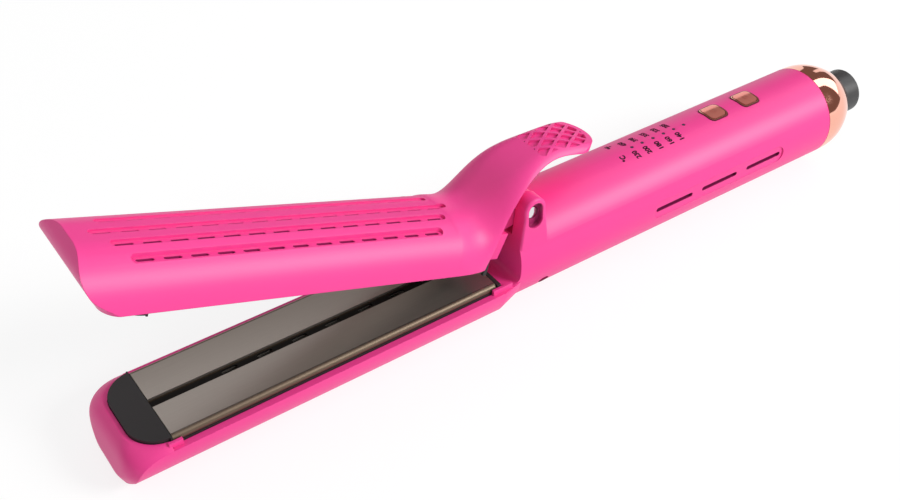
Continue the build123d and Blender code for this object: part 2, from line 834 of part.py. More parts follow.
# Hinge pin and the spring that closes the jaw
pin_half_length = ear_outer - ear_slot_depth - seat_gap
with BuildPart() as hinge_pin:
    with Locations(Location((0, 0, hinge_height), (90, 0, 0))):
        Cylinder(pin_radius, 2 * pin_half_length)
    chamfer(hinge_pin.edges().filter_by(GeomType.CIRCLE), pin_radius / 6)
write("hinge_pin", hinge_pin)

# The coil is half turns in tilted planes, which meet square to the hinge axis
with BuildPart() as torsion_spring:
    with BuildLine() as coil:
        bow = sqrt(coil_radius**2 + coil_pitch**2 / 16)
        for i in range(coil_half_turns):
            y = -coil_length / 2 + i * coil_pitch / 2
            turn = 1 if i % 2 else -1
            ThreePointArc(
                (turn * coil_radius, y, hinge_height),
                (0, y + coil_pitch / 4, hinge_height - turn * bow),
                (-turn * coil_radius, y + coil_pitch / 2, hinge_height),
            )
    with BuildSketch(Plane(origin=(-coil_radius, -coil_length / 2, hinge_height), z_dir=(0, 0, 1))):
        Circle(coil_wire)
    sweep(path=coil.wires()[0])
write("torsion_spring", torsion_spring)


# Plates, heaters and carriers, alike in both arms
def carrier(side, shell_corner):
    """Tray with a rounded nose that carries one plate and its heaters."""
    with BuildPart() as tray:
        add(arm_inside(arm_wall + seat_gap, shell_corner, 0, carrier_rear_x, side))
        with Locations((0, 0, axis_z + side * plate_face_gap / 2)):
            Box(
                far * 2,
                far,
                carrier_depth - plate_face_gap / 2,
                align=(Align.CENTER, Align.CENTER, Align.MIN if side > 0 else Align.MAX),
                mode=Mode.INTERSECT,
            )
        inward = Align.MIN if side > 0 else Align.MAX
        bed_front_x = plate_front_x - seat_gap
        bed_length = plate_rear_x + seat_gap - bed_front_x
        with Locations((bed_front_x + bed_length / 2, 0, axis_z)):
            Box(bed_length, far, heater_face, align=(Align.CENTER, Align.CENTER, inward), mode=Mode.SUBTRACT)
            Box(
                bed_length - 2 * carrier_wall,
                2 * (plate_half_width - carrier_wall),
                floor_face,
                align=(Align.CENTER, Align.CENTER, inward),
                mode=Mode.SUBTRACT,
            )
            Box(
                heater_length,
                air_slot_width,
                far,
                align=(Align.CENTER, Align.CENTER, inward),
                mode=Mode.SUBTRACT,
            )
    return tray


def plate_slots():
    """Air slots along the plate's centre line."""
    with BuildSketch(Plane.XY.offset(axis_z)) as slots:
        with Locations(*[(plate_slot_x + i * plate_slot_pitch, 0) for i in range(plate_slot_count)]):
            SlotOverall(plate_slot_length, plate_slot_width)
    return slots.sketch


def plate(side):
    """Flat iron plate with bullnosed long edges, a centre groove and its air slots."""
    with BuildPart() as iron:
        with BuildSketch(Plane.YZ.offset(plate_front_x)) as section:
            with Locations((0, axis_z + side * (plate_face_gap + plate_thickness) / 2)):
                Rectangle(2 * plate_half_width, plate_thickness)
            face_corners = section.vertices().sort_by(Axis.Y, reverse=side > 0)[-2:]
            fillet(face_corners, plate_edge_radius)
            with Locations((0, axis_z + side * plate_face_gap / 2)):
                Rectangle(2 * groove_half_width, 2 * groove_depth, mode=Mode.SUBTRACT)
        extrude(amount=plate_rear_x - plate_front_x)
        extrude(plate_slots(), amount=side * 2 * plate_back, mode=Mode.SUBTRACT)
    return iron


def slab(x, y, length, width, face, thickness, side):
    """A flat strip whose near face lies at a depth from the mating plane."""
    with BuildPart() as strip:
        with Locations((x, y, axis_z + side * (face + thickness / 2))):
            Box(length, width, thickness)
    return strip


bed_centre_x = (plate_front_x + plate_rear_x) / 2
heater_y = (air_slot_width + heater_width) / 2 + seat_gap
mica_width = 2 * (plate_half_width - carrier_wall - seat_gap)
for side, arm, shell_corner in ((-1, "lower", lower_corner), (1, "upper", upper_corner)):
    turned = side > 0
    write(f"{arm}_carrier", carrier(side, shell_corner), turned)
    write(f"{arm}_plate", plate(side), turned)
    for y, place in ((-heater_y, "near"), (heater_y, "far")):
        heater = slab(bed_centre_x, y, heater_length, heater_width, heater_face, heater_thickness, side)
        write(f"{arm}_heater_{place}", heater, turned)
    mica = slab(bed_centre_x, 0, heater_length, mica_width, mica_face, mica_thickness, side)
    with mica:
        with Locations((bed_centre_x, 0, axis_z)):
            Box(heater_length - 2 * carrier_wall, air_slot_width, far, mode=Mode.SUBTRACT)
    write(f"{arm}_mica", mica, turned)
    with BuildPart() as sensor:
        sensor_z = axis_z + side * (heater_face + sensor_radius)
        with Locations(Location((bed_centre_x, 0, sensor_z), (0, 90, 0))):
            Cylinder(sensor_radius, sensor_length)
    write(f"{arm}_thermistor", sensor, turned)
    strip_face = plate_face_gap / 2 + groove_depth - strip_gap - strip_thickness
    strip_width = 2 * (groove_half_width - strip_gap)
    plate_length = plate_rear_x - plate_front_x
    strip = slab(bed_centre_x, 0, plate_length, strip_width, strip_face, strip_thickness, side)
    with strip:
        extrude(plate_slots(), amount=side * 2 * plate_back, mode=Mode.SUBTRACT)
    write(f"{arm}_air_strip", strip, turned)

def lever_inside(inset):
    """The inside of the lever's root, drawn in from its outer face."""
    with BuildPart() as room:
        loft(
            [
                half_section(x, width - inset, height - inset, corner - inset, 1)
                for x, width, height, corner in lever_stations[:6]
            ]
        )
    return room.part


# Hinge bracket: a web under the crown, a foot behind the carrier and the lug on the pin
bracket_low_z = axis_z + carrier_depth + seat_gap
foot_front_x = carrier_rear_x + seat_gap
foot_low_z = axis_z + rim_gap + seat_gap
foot_top_z = axis_z + bracket_foot
with BuildPart() as upper_bracket:
    with BuildSketch(Plane.XZ.offset(-lug_half_width)):
        with BuildLine():
            Polyline(
                (bracket_front_x, bracket_low_z),
                (foot_front_x, bracket_low_z),
                (ear_front_x(foot_top_z) - bracket_gap, foot_top_z - seat_gap),
                (web_rear_x, hinge_height - lug_radius / 2),
                (web_rear_x, axis_z + web_top),
                (bracket_front_x, axis_z + web_top),
                close=True,
            )
        make_face()
    extrude(amount=2 * lug_half_width)
    add(lever_inside(arm_wall + seat_gap), mode=Mode.INTERSECT)
    with BuildSketch(Plane.XZ.offset(-lug_half_width)):
        with BuildLine():
            Polyline(
                (ear_front_x(foot_top_z) - bracket_gap, foot_top_z - seat_gap),
                (0.0, hinge_height - lug_radius),
                (0.0, hinge_height + lug_radius),
                (web_rear_x - lug_radius / 2, hinge_height + lug_radius),
                close=True,
            )
        make_face()
        with Locations((0, hinge_height)):
            Circle(lug_radius)
    extrude(amount=2 * lug_half_width)
    with BuildSketch(Plane.XZ.offset(-bracket_half_width)):
        with BuildLine():
            Polyline(
                (bracket_front_x, bracket_low_z),
                (foot_front_x, bracket_low_z),
                (foot_front_x, foot_low_z),
                (ear_front_x(foot_low_z) - bracket_gap, foot_low_z),
                (ear_front_x(foot_top_z) - bracket_gap, foot_top_z),
                (bracket_front_x, foot_top_z),
                close=True,
            )
        make_face()
    extrude(amount=2 * bracket_half_width)
    with Locations(*[(bracket_screw_x, y, 0) for y in (-bracket_screw_y, bracket_screw_y)]):
        Cylinder(screw_radius + seat_gap, far, mode=Mode.SUBTRACT)
    with Locations(Location((0, 0, hinge_height), (90, 0, 0))):
        Cylinder(coil_radius + coil_wire + run_gap, 2 * spring_bay, mode=Mode.SUBTRACT)
        Cylinder(pin_radius + pin_clearance, far, mode=Mode.SUBTRACT)
write("upper_bracket", upper_bracket, turned=True)

with BuildPart() as bracket_screws:
    with Locations(*[(bracket_screw_x, y, bracket_low_z) for y in (-bracket_screw_y, bracket_screw_y)]):
        Cylinder(
            screw_radius,
            bracket_screw_length,
            align=(Align.CENTER, Align.CENTER, Align.MIN),
        )
write("bracket_screws", bracket_screws, turned=True)

# Upper arm shell with its vent rows and swept thumb lever
with BuildPart() as upper_shell:
    first = lever_stations[0]
    extrude(
        half_section(first[0], arm_half_width, arm_height, upper_corner, 1),
        amount=-far,
    )
    add(tip_form(upper_tip, first[0], 1), mode=Mode.INTERSECT)
    loft([half_section(x, width, height, corner, 1) for x, width, height, corner in lever_stations])
    # Rounded end of the lever, in plan
    with BuildSketch(Plane.XY.offset(axis_z)):
        with Locations((lever_tip_x - lever_half_width - far / 2, 0)):
            Rectangle(far, 3 * arm_half_width)
        with Locations((lever_tip_x - lever_half_width, 0)):
            Circle(lever_half_width)
    extrude(amount=far, mode=Mode.INTERSECT)
    # Inside of the barrel and of the root of the lever
    add(
        arm_inside(arm_wall, upper_corner, seat_gap, carrier_rear_x + seat_gap, 1),
        mode=Mode.SUBTRACT,
    )
    add(lever_inside(arm_wall), mode=Mode.SUBTRACT)
    # Sweep of the rear edge and the underside of the lever
    with BuildSketch(Plane.XZ):
        with BuildLine():
            under = [(x, axis_z + z) for x, z in lever_underside]
            Spline(*under)
            Polyline(under[-1], (far, under[-1][1]), (far, 0), (under[0][0], 0), under[0])
        make_face()
    extrude(amount=far, both=True, mode=Mode.SUBTRACT)
    # The shell stops short of the mating plane
    with Locations((0, 0, axis_z + rim_gap)):
        Box(2 * far, far, far, align=(Align.CENTER, Align.CENTER, Align.MAX), mode=Mode.SUBTRACT)
    # Vent rows, each in its shallow groove
    for row_y, row_x, count in zip(vent_row_y, vent_row_x, vent_count):
        row_drop = upper_corner - sqrt(upper_corner**2 - max(row_y - arm_half_width + upper_corner, 0) ** 2)
        row_z = axis_z + arm_height - row_drop
        row_length = vent_pitch * (count - 1) + vent_length
        row_sides = (-1, 1) if row_y else (1,)
        with BuildSketch(Plane.XY.offset(row_z - vent_groove_depth)):
            with Locations(*[(row_x + row_length / 2, side * row_y) for side in row_sides]):
                SlotOverall(row_length + vent_groove_width, vent_groove_width)
        extrude(amount=2 * arm_wall, mode=Mode.SUBTRACT)
        with BuildSketch(Plane.XY.offset(row_z)):
            with Locations(
                *[
                    (row_x + vent_length / 2 + i * vent_pitch, side * row_y)
                    for side in row_sides
                    for i in range(count)
                ]
            ):
                SlotOverall(vent_length, vent_width)
        extrude(amount=-2 * arm_wall, mode=Mode.SUBTRACT)
    # Diamond pockets of the grip, as deep everywhere as the layer under the crown
    with BuildPart(mode=Mode.PRIVATE) as grip_layer:
        with BuildSketch(Plane.XZ.offset(-arm_half_width)):
            with BuildLine():
                crown = [(x, axis_z + height) for x, _, height, _ in lever_stations]
                low = Spline(*[(x, z - pocket_depth) for x, z in crown])
                Polyline(low @ 1, (crown[-1][0], far), (crown[0][0], far), low @ 0)
            make_face()
        extrude(amount=2 * arm_half_width)
        with BuildSketch(Plane.XY.offset(axis_z)) as diamonds:
            step_x, step_y = pocket_step
            inset = pocket_rib / 2 * sqrt(1 / step_x**2 + 1 / step_y**2)  # share of a diamond's half size
            with Locations(
                *[
                    (lever_tip_x - i * step_x, j * step_y)
                    for i in range(pocket_rows)
                    for j in range(-pocket_rows, pocket_rows + 1)
                    if (i + j) % 2 == 0
                ]
            ):
                Polygon(
                    (-step_x * (1 - inset), 0),
                    (0, -step_y * (1 - inset)),
                    (step_x * (1 - inset), 0),
                    (0, step_y * (1 - inset)),
                    align=None,
                )
            # The lattice stays inside the lever's border
            with BuildSketch(mode=Mode.INTERSECT):
                border = lever_half_width - pocket_margin
                with Locations((lever_tip_x - lever_half_width, 0)):
                    Circle(border)
                with Locations(((pocket_front_x + lever_tip_x - lever_half_width) / 2, 0)):
                    Rectangle(lever_tip_x - lever_half_width - pocket_front_x, 2 * border)
        extrude(diamonds.sketch, amount=far, mode=Mode.INTERSECT)
    add(grip_layer.part, mode=Mode.SUBTRACT)
write("upper_shell", upper_shell, turned=True)
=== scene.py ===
"""Looks of a hinged airflow hair straightener: satin shells, coated plates and polished trim.

Run as a script inside Blender 4.5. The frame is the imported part, in metres, lying along X with its
tips at -X and its cord end at +X, on the floor at z = 0. Where a pair of values is called a fade,
a mask is 0 below the first and 1 above the second.
"""
import json
import math

import bpy
import numpy as np
from mathutils import Matrix, Vector


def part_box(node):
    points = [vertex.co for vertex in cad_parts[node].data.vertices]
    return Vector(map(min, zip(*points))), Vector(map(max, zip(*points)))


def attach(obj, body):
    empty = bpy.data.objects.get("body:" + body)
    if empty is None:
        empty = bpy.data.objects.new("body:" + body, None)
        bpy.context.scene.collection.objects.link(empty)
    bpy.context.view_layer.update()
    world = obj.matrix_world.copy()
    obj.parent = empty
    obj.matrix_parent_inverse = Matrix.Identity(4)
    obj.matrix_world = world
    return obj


bl_info = {
    "name": "Hair straightener looks",
    "version": (1, 1, 0),
    "blender": (4, 5, 0),
    "location": "3D View > Sidebar > Straightener",
    "description": "Finishes, trim, printed scale and studio for the packed hair straightener",
    "category": "Object",
}

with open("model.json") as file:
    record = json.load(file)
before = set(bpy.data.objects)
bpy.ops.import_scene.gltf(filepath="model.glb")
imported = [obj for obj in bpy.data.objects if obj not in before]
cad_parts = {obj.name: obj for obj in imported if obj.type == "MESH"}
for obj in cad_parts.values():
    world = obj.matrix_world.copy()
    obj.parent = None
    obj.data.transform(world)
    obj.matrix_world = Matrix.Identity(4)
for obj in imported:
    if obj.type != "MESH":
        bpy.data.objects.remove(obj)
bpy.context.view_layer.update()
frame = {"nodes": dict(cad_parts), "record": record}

MM = 0.001

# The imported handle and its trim.
AXIS_Z = 18.0 * MM  # height of the handle's axis
HANDLE_RADIUS = 18.0 * MM
BUTTON_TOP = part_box("power_button")[1][2] - AXIS_Z  # radius of the buttons' faces about that axis
BUTTON_X = {"power": 98.0 * MM, "temperature": 114.8 * MM}  # middles of the buttons' rims
BEZEL_HALF = 4.55 * MM  # half of a rim's side
BEZEL_CORNER = 2.2 * MM
BEZEL_LINE = (BEZEL_CORNER - 0.42 * MM, BEZEL_CORNER - 0.26 * MM)  # fade to the dark outer line

# The slots in the handle's sides, with painted shade inside them.
SIDE_SLOT_BELT = (3.0 * MM, 3.5 * MM)  # fade out of the slots' belt, over or under the axis
SIDE_SLOT_FRONT = (45.0 * MM, 46.0 * MM)  # fade in, along the handle
SIDE_SLOT_DEPTH = (0.45 * MM, 1.0 * MM)  # fade under the skin
SIDE_SLOT_SHADE = 0.9  # how dark they turn, up to 1

# The oval recesses at the ends of the hinge pin, with painted shade inside them.
HINGE_Z = 39.5 * MM
RECESS_HALF = (3.08 * MM, 3.12 * MM)  # fade out, along the handle
RECESS_SLIMNESS = 0.58  # a recess's length over its height
RECESS_FLOOR = (13.0 * MM, 13.2 * MM)  # fade in, across the handle
RECESS_MOUTH = (15.0 * MM, 15.8 * MM)  # fade out, across the handle
RECESS_SHADE = 0.72

# The slots in the arm's barrel, with the jaw closed, and the painted shade inside them.
JAW_OPEN = math.radians(20.0)  # angle at which the jaw is packed
ARM_CORNER = 16.5 * MM  # radius of the barrel's flanks about its core
CORE_HALF = 3.3 * MM  # half width of the core, a flat strip
CORE_RISE = 1.5 * MM  # of the core, over the handle's axis
ARM_SLOT_ROWS = (0.0, 5.9 * MM, 11.4 * MM)  # distances of the rows from the arm's middle
ARM_SLOT_HALF = (0.70 * MM, 0.74 * MM)  # fade out, across a row
ARM_SLOT_FRONT = (-148.6 * MM, -148.3 * MM)  # fade in, along the middle row
ARM_SLOT_SLANT = 0.68  # how far another row starts behind it, over the row's distance
ARM_SLOT_REAR = (-29.5 * MM, -29.0 * MM)  # fade out, along every row
ARM_SLOT_DEPTH = (1.12 * MM, 1.35 * MM)  # fade under the skin, below the grooves' floors
ARM_SLOT_SHADE = 0.74

# The plates and the strip between their halves, from the middle outwards.
PLATE_CREASE = (15.1 * MM, 15.25 * MM)  # fade in of the thin dark line beside the rounded edge
PLATE_EDGE = (15.3 * MM, 15.7 * MM)  # fade in of the rounded edge
STRIP_EDGE = (0.9 * MM, 1.7 * MM)  # fade in of the brown edge tone

STRIP_DARK = (0.003, 0.0025, 0.002)
STRIP_SPECK = (0.006, 0.005, 0.004)
STRIP_EDGE_BROWN = (0.040, 0.026, 0.015)

# The patterns of the finishes, in cells per metre.
CLOUD_CELLS = 60.0  # cloudiness of the shells
GRAIN_CELLS = 2600.0  # grain of the shells
HAZE_CELLS = 220.0  # haze on the plating
GRINDING_CELLS = 5200.0  # lines of the plates
GRINDING_STRETCH = (0.02, 1.0, 1.0)  # draws those lines out along the plates
STRIP_CELLS = 900.0
PLAIN_CELLS = 1800.0

# The shells' tight corners, darkened with painted shade.
TIGHT_REACH = 1.6 * MM  # how near the other wall of such a corner is
TIGHT_OPENNESS = (0.20, 0.60)  # fade out, from closed to open
TIGHT_SHADE = 0.7

# How the frame's facets are joined and smoothed.
WELD_REACH = 1e-6
SHARP_ANGLE = math.radians(28)  # an edge past it stays sharp

# The printed scale. Along the handle, and round it from the top.
LAMP_X = (56.7 * MM, 61.9 * MM, 67.4 * MM, 72.7 * MM, 77.7 * MM)  # places of the numbered lights
CELSIUS = ("230", "200", "180", "160", "140")
FAHRENHEIT = ("450", "390", "355", "320", "285")
CELSIUS_Y = -4.1 * MM
FAHRENHEIT_Y = 4.0 * MM
NUMBER_LEAD = 0.9 * MM  # a number stands this much in front of its light
UNITS = (("°C", 50.0 * MM, -3.5 * MM), ("°F", 50.8 * MM, 5.8 * MM))
UNIT_WIDTH = 3.0 * MM
UNIT_HEIGHT = 2.5 * MM
LETTER_WEIGHT = 0.044  # how far a letter's outline is moved out, over its size

# The marks on the buttons.
MARK_RADIUS = 1.0 * MM
MARK_GAP = math.radians(38)  # half of the power ring's opening
POWER_LINE = 0.26 * MM
POWER_BAR = (1.0 * MM, 0.85 * MM)  # height of the bar, and of its middle
DIAL_LINE = 0.24 * MM
DOT_RADIUS = 0.2 * MM
MARK_COLOUR = (0.30, 0.05, 0.035)

# The neck plugs.
PLUG_X = 5.1 * MM
PLUG_ANGLE = math.radians(121.5)  # from the handle's top
PLUG_SIZE = (4.0 * MM, 4.4 * MM)  # round the handle and along it
PLUG_RISE = 0.12 * MM
PLUG_COLOUR = (0.20, 0.008, 0.050)

# The studio.
FLOOR_RADIUS = 12.0
FLOOR_CORNERS = 96
FLOOR_DROP = 0.0002  # keeps the floor just under the part
FLOOR_LIT = 0.85  # share of the floor's colour that light on it sees
FLOOR_SEEN = 0.26  # share of it that the camera and reflections see
FLOOR_GLOW = 0.80  # white added for them
CARD_DISTANCE = 1.6
CARD_GRID = (60, 12)  # points of a card, round and up
DARK_CARDS = {
    "near": ((-120.0, 78.0), (2.0, 46.0)),
    "right": ((98.0, 112.0), (2.0, 62.0)),
    "back": ((112.0, 146.0), (26.0, 62.0)),
    "low": ((117.0, 128.0), (2.0, 26.0)),
    "far": ((146.0, 192.0), (8.0, 42.0)),
}
BRIGHT_CARD = ((78.0, 98.0), (8.0, 60.0))
BRIGHT_CARD_STRENGTH = 2.4
WHITE = (1.0, 1.0, 1.0)
KEY_DIRECTION = (0.576, -0.644, 0.506)
KEY_TARGET = (0.0, 0.0, 0.03)
KEY_DISTANCE = 2.5
KEY_SIZE = 0.9

# The camera, fitted to the photograph.
PHOTO_WIDTH = 900
FOCAL_PIXELS = 1200.02
SENSOR_WIDTH = 36.0  # in mm, as the lens is
CAMERA_PLACE = (-0.20315775, -0.26473711, 0.28614714)
CAMERA_RIGHT = (0.82321446, -0.56761063, -0.01166683)
CAMERA_UP = (0.36621978, 0.51520702, 0.77488373)
CAMERA_CLIP = (0.01, 50.0)  # nearest and farthest distance that it sees


class Socket:
    """A node's output socket that adds Math nodes when it is used in arithmetic."""

    def __init__(self, tree, link):
        self.tree = tree
        self.link = link

    def _math(self, operation, *values):
        """Adds a Math node on the values and gives its output."""
        return self.tree.node("ShaderNodeMath", {"operation": operation}, dict(enumerate(values)))

    def __add__(self, other):
        return self._math("ADD", self, other)

    __radd__ = __add__

    def __sub__(self, other):
        return self._math("SUBTRACT", self, other)

    def __rsub__(self, other):
        return self._math("SUBTRACT", other, self)

    def __mul__(self, other):
        return self._math("MULTIPLY", self, other)

    __rmul__ = __mul__

    def __abs__(self):
        return self._math("ABSOLUTE", self)

    def __or__(self, other):
        return self._math("MAXIMUM", self, other)

    __ror__ = __or__

    def __pow__(self, other):
        return self._math("POWER", self, other)

    def __rpow__(self, other):
        return self._math("POWER", other, self)


class Shader:
    """Builds one material's or world's node tree."""

    def __init__(self, tree):
        self.nodes = tree.nodes
        self.links = tree.links
        self.nodes.clear()

    def node(self, kind, settings=None, inputs=None, output=0):
        """Adds a node: its settings are set first, then its inputs get values or links."""
        made = self.nodes.new(kind)
        for name, value in (settings or {}).items():
            setattr(made, name, value)
        for key, value in (inputs or {}).items():
            socket = made.inputs[key]
            if isinstance(value, Socket):
                self.links.new(value.link, socket)
            elif isinstance(value, tuple) and len(value) == 3 and socket.type == "RGBA":
                socket.default_value = (*value, 1.0)
            else:
                socket.default_value = value
        return Socket(self, made.outputs[output]) if len(made.outputs) else None

    def place(self):
        """Object coordinates, in metres."""
        return self.node("ShaderNodeTexCoord", output="Object")

    def part_of(self, vector, axis):
        """One of X, Y and Z of a vector."""
        return self.node("ShaderNodeSeparateXYZ", None, {0: vector}, output=axis)

    def noise(self, where, scale, detail=2.0, rough=0.5):
        """A noise value from 0 to 1; scale counts cells per metre."""
        return self.node(
            "ShaderNodeTexNoise",
            {"noise_dimensions": "3D"},
            {"Vector": where, "Scale": scale, "Detail": detail, "Roughness": rough},
        )

    def stretched(self, where, scale):
        """The place with each axis scaled, which draws a pattern out along the small ones."""
        return self.node("ShaderNodeMapping", None, {"Vector": where, "Scale": scale})

    def step(self, value, low, high):
        """0 below low, 1 above high and a smooth rise between."""
        return self.node(
            "ShaderNodeMapRange",
            {"interpolation_type": "SMOOTHSTEP"},
            {"Value": value, "From Min": low, "From Max": high},
        )

    def openness(self, reach):
        """How open the surface is within reach: 1 outside, low inside a slot."""
        return self.node(
            "ShaderNodeAmbientOcclusion",
            {"samples": 8, "only_local": True},
            {"Distance": reach},
            output="AO",
        )

    def soft_edges(self, radius):
        """The surface's normal with its small edges rounded."""
        return self.node("ShaderNodeBevel", {"samples": 4}, {"Radius": radius})

    def mix(self, factor, first, second):
        """Mixes two colours."""
        return self.node(
            "ShaderNodeMix",
            {"data_type": "RGBA"},
            {"Factor": factor, "A": first, "B": second},
            output=2,
        )

    def bump(self, height, strength, distance, normal=None):
        """The surface's normal, or the given one, with small hills of the given height added."""
        inputs = {"Height": height, "Strength": strength, "Distance": distance}
        if normal is not None:
            inputs["Normal"] = normal
        return self.node("ShaderNodeBump", None, inputs)

    def surface(self, **inputs):
        """Principled surface; keyword names use _ for spaces."""
        named = {name.replace("_", " "): value for name, value in inputs.items()}
        shader = self.node("ShaderNodeBsdfPrincipled", None, named)
        self.node("ShaderNodeOutputMaterial", None, {"Surface": shader})
        return shader

    def seen_ray(self):
        """1 for what the camera, a mirror or clear glass looks at, and 0 for light on a surface."""
        camera = self.node("ShaderNodeLightPath", output="Is Camera Ray")
        glossy = self.node("ShaderNodeLightPath", output="Is Glossy Ray")
        clear = self.node("ShaderNodeLightPath", output="Is Transmission Ray")
        return camera | glossy | clear


def material(name, build):
    """Makes a material once; build gets its Shader."""
    made = bpy.data.materials.get(name)
    if made is None:
        made = bpy.data.materials.new(name)
        made.use_nodes = True
        build(Shader(made.node_tree))
    return made


def scaled(colour, share):
    """A colour times a number, kept within 1."""
    return tuple(min(1.0, share * part) for part in colour)


def handle_slot_shade(shader, where):
    """Mask of the painted shade in the handle's side slots and in the ears' pin recesses.

    A slot is what lies deep enough under the round skin, where depth is the handle's radius less
    the distance from its axis. A recess is what lies under the ear's flat side, close enough to
    the hinge axis along X and up.
    """
    x, y, z = (shader.part_of(where, axis) for axis in "XYZ")
    level = z - AXIS_Z
    depth = HANDLE_RADIUS - (y**2.0 + level**2.0) ** 0.5
    # Painted shade deep in the side slots, then in the pin recesses.
    beside = 1.0 - shader.step(abs(level), *SIDE_SLOT_BELT)
    beside = beside * shader.step(x, *SIDE_SLOT_FRONT)
    slots = shader.step(depth, *SIDE_SLOT_DEPTH) * beside * SIDE_SLOT_SHADE
    rise = z - HINGE_Z
    near = 1.0 - shader.step(abs(x) | (abs(rise) * RECESS_SLIMNESS), *RECESS_HALF)
    under = shader.step(abs(y), *RECESS_FLOOR) * (1.0 - shader.step(abs(y), *RECESS_MOUTH))
    return slots | (near * under * RECESS_SHADE)


def arm_slot_shade(shader, where):
    """Mask of the painted shade in the slots of the arm's barrel, below its grooves' floors.

    The place is turned back about the hinge axis by the angle at which the jaw is packed. Depth is
    the flanks' radius less the distance from the barrel's core. Only the rows' own strips count,
    from the slanting line on which their first slots begin.
    """
    x, y, z = (shader.part_of(where, axis) for axis in "XYZ")
    rise = z - HINGE_Z
    ahead = x * math.cos(JAW_OPEN) - rise * math.sin(JAW_OPEN)
    above = x * math.sin(JAW_OPEN) + rise * math.cos(JAW_OPEN) + (HINGE_Z - AXIS_Z)
    across = (abs(y) - CORE_HALF) | 0.0
    over = (above - CORE_RISE) | 0.0
    depth = ARM_CORNER - (across**2.0 + over**2.0) ** 0.5
    middle, inner, outer = (
        1.0 - shader.step(abs(abs(y) - row), *ARM_SLOT_HALF) for row in ARM_SLOT_ROWS
    )
    barrel = shader.step(ahead - abs(y) * ARM_SLOT_SLANT, *ARM_SLOT_FRONT)
    barrel = barrel * (1.0 - shader.step(ahead, *ARM_SLOT_REAR))
    # Painted shade deep inside the slots.
    deep = shader.step(depth, *ARM_SLOT_DEPTH)
    return deep * barrel * (middle | inner | outer) * ARM_SLOT_SHADE


def satin_shell(slots=None):
    """Returns a builder for satin moulded plastic.

    It has an even colour, faint mould cloudiness, a fine grain, soft edges, and painted shade that
    deepens its tight corners a little. Where slots is given, its mask paints shade inside the slots.
    """

    def build(shader):
        settings = bpy.context.scene.straightener_finish
        where = shader.place()
        cloud = shader.noise(where, CLOUD_CELLS, 3.0)
        grain = shader.noise(where, GRAIN_CELLS, 1.0)
        base = tuple(settings.shell_colour)
        inside = tuple(settings.slot_shade_colour)
        skin = shader.mix(cloud, scaled(base, 0.94), base)
        # Painted shade: tight corners, found by occlusion, and the slots' insides turn towards the
        # slot colour.
        open_air = shader.step(shader.openness(TIGHT_REACH), *TIGHT_OPENNESS)
        tight = (1.0 - open_air) * TIGHT_SHADE
        shade = tight | slots(shader, where) if slots else tight
        shader.surface(
            Base_Color=shader.mix(shade, skin, inside),
            Roughness=0.41 + grain * 0.06,
            Specular_IOR_Level=0.42,
            Normal=shader.bump(grain, 0.12, 0.05 * MM, shader.soft_edges(settings.edge_softness)),
        )

    return build


def polished_copper(shader):
    """Polished warm metal plating with the faintest haze."""
    haze = shader.noise(shader.place(), HAZE_CELLS, 3.0)
    base = tuple(bpy.context.scene.straightener_finish.trim_colour)
    shader.surface(
        Base_Color=shader.mix(haze, base, scaled(base, 1.05)),
        Metallic=1.0,
        Roughness=0.05 + haze * 0.03,
    )


def bezel_trim(centre_x):
    """Returns a builder for a button's rim: plating with a dark line round its outer edge.

    The line is where the distance from the rim's inner square nears the corner's radius.
    """

    def build(shader):
        where = shader.place()
        reach = BEZEL_HALF - BEZEL_CORNER
        along = (abs(shader.part_of(where, "X") - centre_x) - reach) | 0.0
        across = (abs(shader.part_of(where, "Y")) - reach) | 0.0
        corner = (along**2.0 + across**2.0) ** 0.5
        rim = shader.step(corner, *BEZEL_LINE)
        base = tuple(bpy.context.scene.straightener_finish.trim_colour)
        line = tuple(bpy.context.scene.straightener_finish.outline_colour)
        shader.surface(
            Base_Color=shader.mix(rim, base, line),
            Metallic=1.0 - rim,
            Roughness=0.08 + rim * 0.35,
        )

    return build


def coated_plate(shader):
    """Dark ceramic coat over aluminium, ground along its length, with warm rounded long edges."""
    where = shader.place()
    lines = shader.noise(shader.stretched(where, GRINDING_STRETCH), GRINDING_CELLS, 2.0)
    side = abs(shader.part_of(where, "Y"))
    edge = shader.step(side, *PLATE_EDGE)
    crease = shader.step(side, *PLATE_CREASE) * (1.0 - edge)
    base = tuple(bpy.context.scene.straightener_finish.plate_colour)
    warm = tuple(bpy.context.scene.straightener_finish.plate_edge_colour)
    face = shader.mix(lines, base, scaled(base, 1.15))
    face = shader.mix(crease, face, scaled(base, 0.4))
    shader.surface(
        Base_Color=shader.mix(edge, face, warm),
        Metallic=0.85,
        Roughness=0.30 + lines * 0.06 + edge * 0.10,
        Normal=shader.bump(lines, 0.05, 0.02 * MM),
    )


def air_strip(shader):
    """Near-black strip between the plates' halves, brown along both edges."""
    where = shader.place()
    speck = shader.noise(where, STRIP_CELLS, 3.0)
    edge = shader.step(abs(shader.part_of(where, "Y")), *STRIP_EDGE)
    dark = shader.mix(speck, STRIP_DARK, STRIP_SPECK)
    shader.surface(
        Base_Color=shader.mix(edge, dark, STRIP_EDGE_BROWN),
        Roughness=0.55 + speck * 0.1,
        Specular_IOR_Level=0.12,
        Normal=shader.bump(speck, 0.1, 0.03 * MM),
    )


def plain(colour, roughness, grain=0.04, metallic=0.0, shine=0.5):
    """Returns a builder for a plain moulded or rolled finish with a fine grain."""

    def build(shader):
        speck = shader.noise(shader.place(), PLAIN_CELLS, 2.0)
        shader.surface(
            Base_Color=shader.mix(speck, scaled(colour, 0.88), colour),
            Metallic=metallic,
            Roughness=roughness + speck * grain,
            Specular_IOR_Level=shine,
            Normal=shader.bump(speck, 0.1, 0.04 * MM),
        )

    return build


